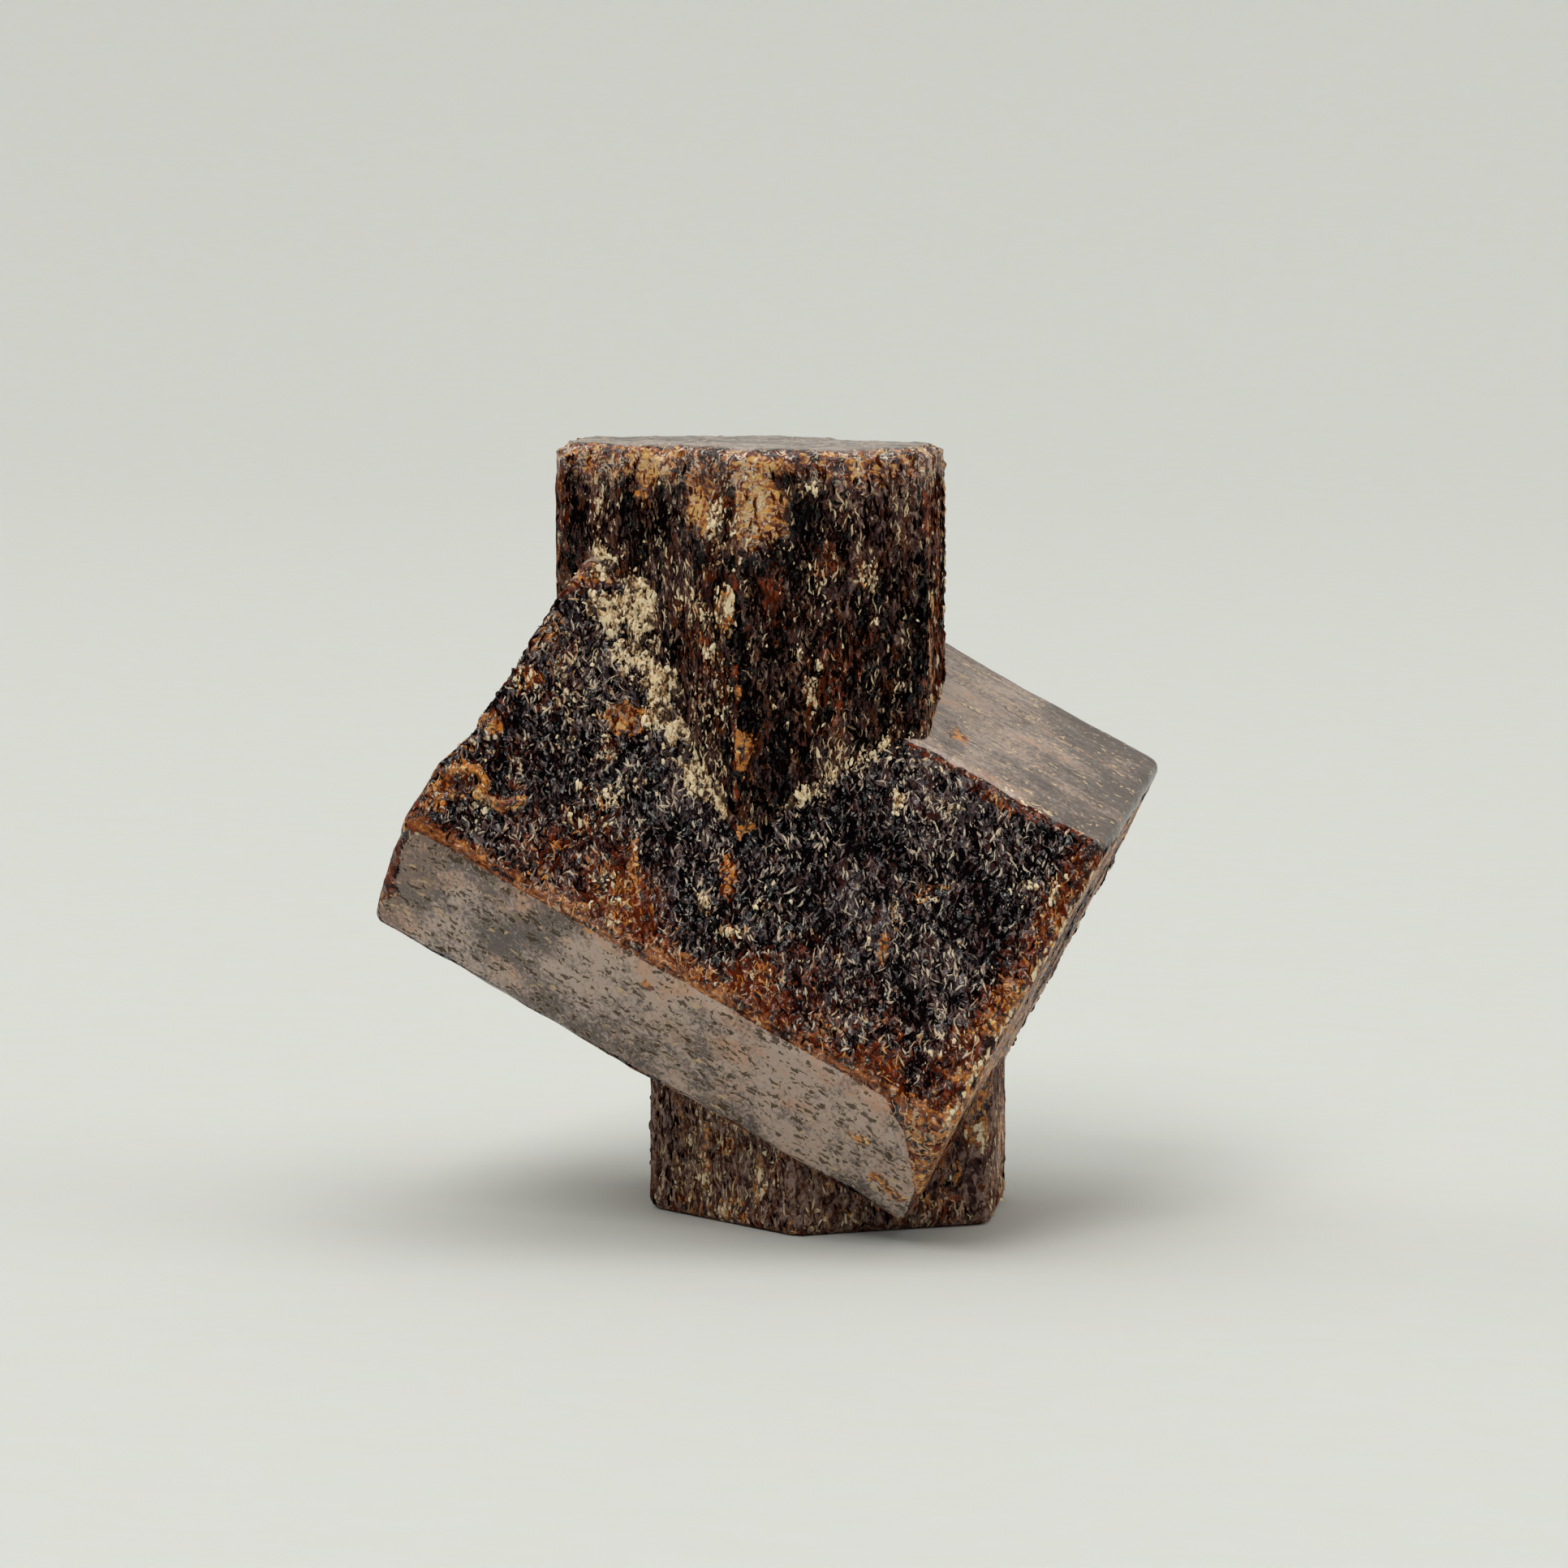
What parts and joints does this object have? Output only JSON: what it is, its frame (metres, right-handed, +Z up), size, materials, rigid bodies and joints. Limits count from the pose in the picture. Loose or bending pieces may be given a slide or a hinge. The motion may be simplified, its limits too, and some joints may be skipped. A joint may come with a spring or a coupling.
{
  "type": "staurolite twin crystal",
  "caption": "Cross-shaped staurolite twin, stubby hexagonal prisms grown through each other at a slant, standing on the flat end of the upright prism.",
  "frame": {"origin": "on the flat lower end of the upright prism, under the middle of the whole twin", "axes": "+Z up along the upright prism; X across the cross, with the inclined prism running from upper -X to lower +X; -Y the side with the rough front face"},
  "size_m": [0.0221, 0.0171, 0.024],
  "materials": {
    "staurolite": "dark brown to black, rough and pitted, with smooth greyish faces and a cream crust in the corners"
  },
  "bodies": {
    "root": {"staurolite_cross": "staurolite"}
  },
  "joints": []
}
